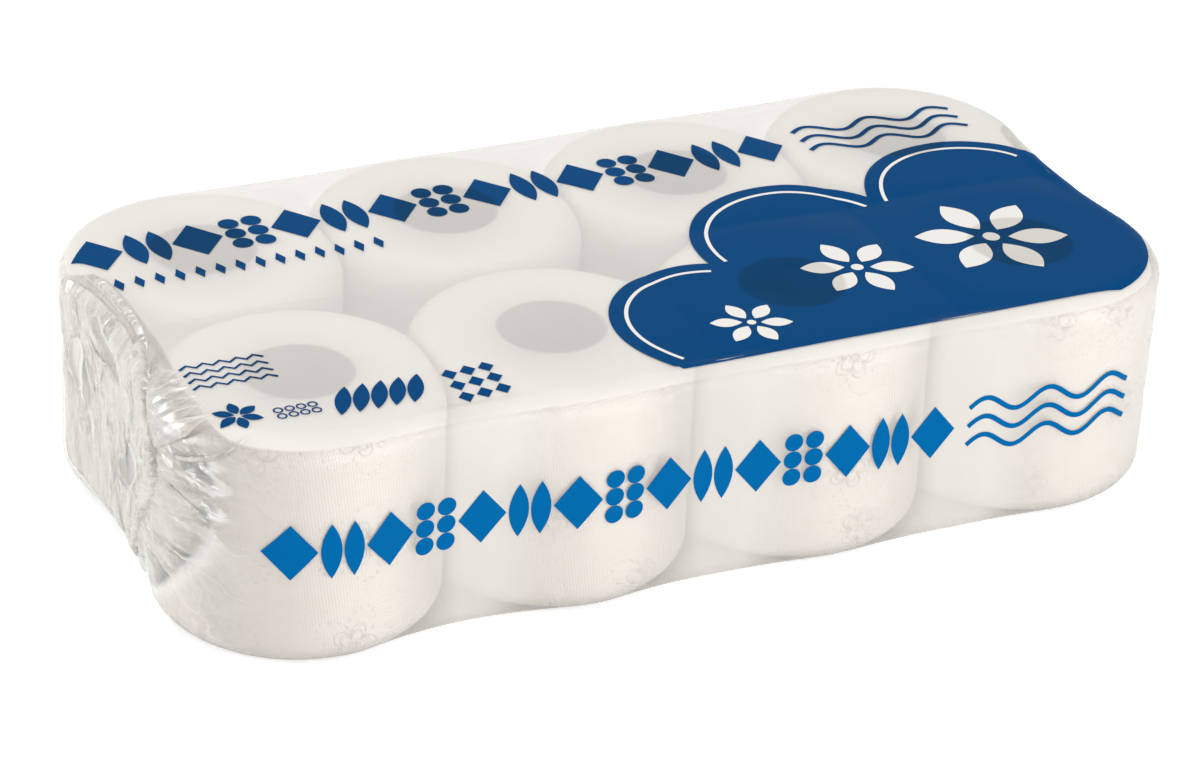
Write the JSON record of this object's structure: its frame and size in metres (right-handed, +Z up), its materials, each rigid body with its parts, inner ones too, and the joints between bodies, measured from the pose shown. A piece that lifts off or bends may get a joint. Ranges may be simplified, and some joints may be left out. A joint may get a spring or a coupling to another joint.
{
  "type": "toilet paper roll pack",
  "caption": "Flat pack of upright tissue rolls in two rows, wrapped tightly in clear plastic film with gathered, heat-sealed ends.",
  "frame": {"origin": "middle of the film's flat bottom face", "axes": "+X along the pack's long side, +Z up along the rolls' axes, front row towards -Y"},
  "size_m": [0.4384, 0.2252, 0.099],
  "materials": {
    "tissue": "matte",
    "core_board": "matte",
    "wrap_film": "gloss"
  },
  "bodies": {
    "root": {"roll_front_1": "tissue", "roll_front_2": "tissue", "roll_front_3": "tissue", "roll_front_4": "tissue", "roll_back_1": "tissue", "roll_back_2": "tissue", "roll_back_3": "tissue", "roll_back_4": "tissue", "core_front_1": "core_board", "core_front_2": "core_board", "core_front_3": "core_board", "core_front_4": "core_board", "core_back_1": "core_board", "core_back_2": "core_board", "core_back_3": "core_board", "core_back_4": "core_board", "film": "wrap_film"}
  },
  "joints": []
}
